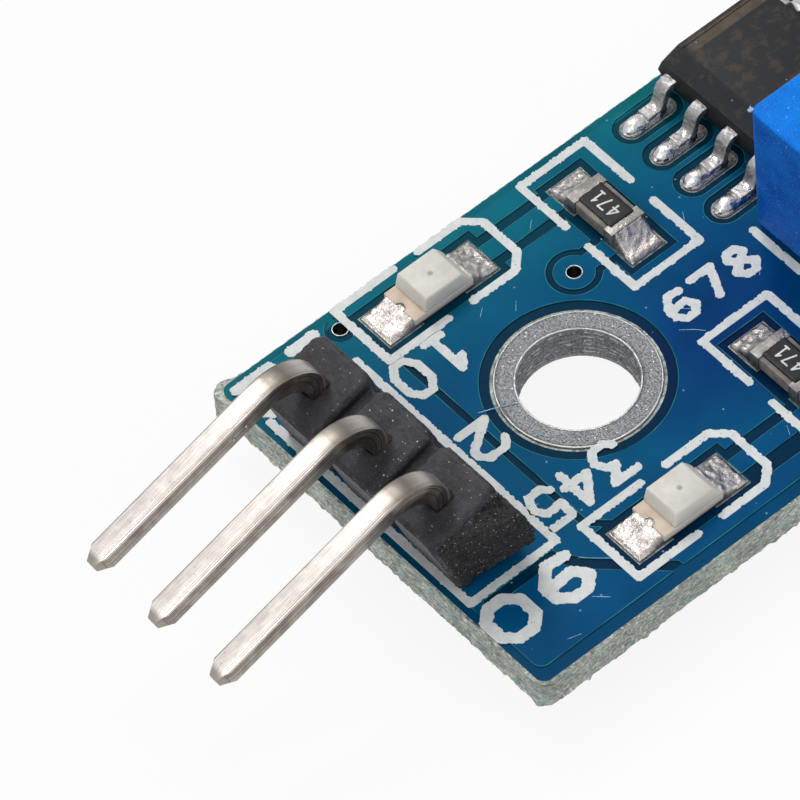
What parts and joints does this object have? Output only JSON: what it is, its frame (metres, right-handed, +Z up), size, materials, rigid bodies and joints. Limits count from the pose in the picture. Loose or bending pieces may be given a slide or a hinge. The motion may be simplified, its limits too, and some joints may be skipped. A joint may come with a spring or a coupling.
{
  "type": "vibration sensor module",
  "caption": "Small circuit board with an angled pin header, fixing hole, indicator lamps, comparator, setting trimmer and a sealed vibration sensor capsule.",
  "frame": {"origin": "on the axis of the fixing hole, at the upper face of the board laminate", "axes": "+X along the board from the header to the sensor, +Y across the board, +Z up out of the board"},
  "size_m": [0.0383, 0.0133, 0.0083],
  "materials": {
    "laminate": "matte",
    "capacitor_ceramic": "satin",
    "end_metal": "satin",
    "solder": "gloss",
    "package_black": "matte",
    "lead_metal": "satin",
    "copper": "satin",
    "tin_plate": "satin",
    "header_plastic": "matte",
    "pin_metal": "satin",
    "lamp_base": "matte",
    "lamp_lens": "gloss",
    "legend": "matte",
    "white_ceramic": "matte",
    "resistor_coat": "satin",
    "capsule_black": "satin",
    "solder_mask": "gloss",
    "trimmer_blue": "satin",
    "potting": "matte",
    "rotor_white": "satin",
    "seal_rubber": "matte",
    "wiper_metal": "satin"
  },
  "bodies": {
    "board": {"board_laminate": "laminate", "capacitor_1_ceramic": "capacitor_ceramic", "capacitor_1_ends": "end_metal", "chip_solder": "solder", "comparator_body": "package_black", "comparator_lead_1": "lead_metal", "comparator_lead_2": "lead_metal", "comparator_lead_3": "lead_metal", "comparator_lead_4": "lead_metal", "comparator_lead_5": "lead_metal", "comparator_lead_6": "lead_metal", "comparator_lead_7": "lead_metal", "comparator_lead_8": "lead_metal", "comparator_solder": "solder", "copper_foil_bottom": "copper", "copper_foil_top": "copper", "fixing_hole_ring": "tin_plate", "header_housing": "header_plastic", "header_pin_1": "pin_metal", "header_pin_2": "pin_metal", "header_pin_3": "pin_metal", "header_solder": "solder", "lamp_1_base": "lamp_base", "lamp_1_die": "end_metal", "lamp_1_lens": "lamp_lens", "lamp_1_terminals": "end_metal", "lamp_2_base": "lamp_base", "lamp_2_die": "end_metal", "lamp_2_lens": "lamp_lens", "lamp_2_terminals": "end_metal", "land_tinning": "tin_plate", "lead_hole_plating": "tin_plate", "legend_frames": "legend", "resistor_1_ceramic": "white_ceramic", "resistor_1_coat": "resistor_coat", "resistor_1_ends": "end_metal", "resistor_2_ceramic": "white_ceramic", "resistor_2_coat": "resistor_coat", "resistor_2_ends": "end_metal", "resistor_3_ceramic": "white_ceramic", "resistor_3_coat": "resistor_coat", "resistor_3_ends": "end_metal", "sensor_capsule": "capsule_black", "sensor_lead_1": "lead_metal", "sensor_lead_2": "lead_metal", "sensor_solder": "solder", "solder_mask_bottom": "solder_mask", "solder_mask_top": "solder_mask", "trimmer_element": "white_ceramic", "trimmer_housing": "trimmer_blue", "trimmer_pin_1": "lead_metal", "trimmer_pin_2": "lead_metal", "trimmer_pin_3": "lead_metal", "trimmer_potting": "potting", "trimmer_seal": "seal_rubber", "trimmer_solder": "solder", "via_plating": "copper"},
    "rotor": {"trimmer_rotor": "rotor_white", "trimmer_wiper": "wiper_metal"}
  },
  "joints": [
    {"name": "trimmer_turn", "type": "hinge", "parent": "board", "child": "rotor", "pos_m": [0.01029, -0.0028, 0.0045], "axis": [0, 0, 1], "range_deg": [-135, 135]}
  ]
}
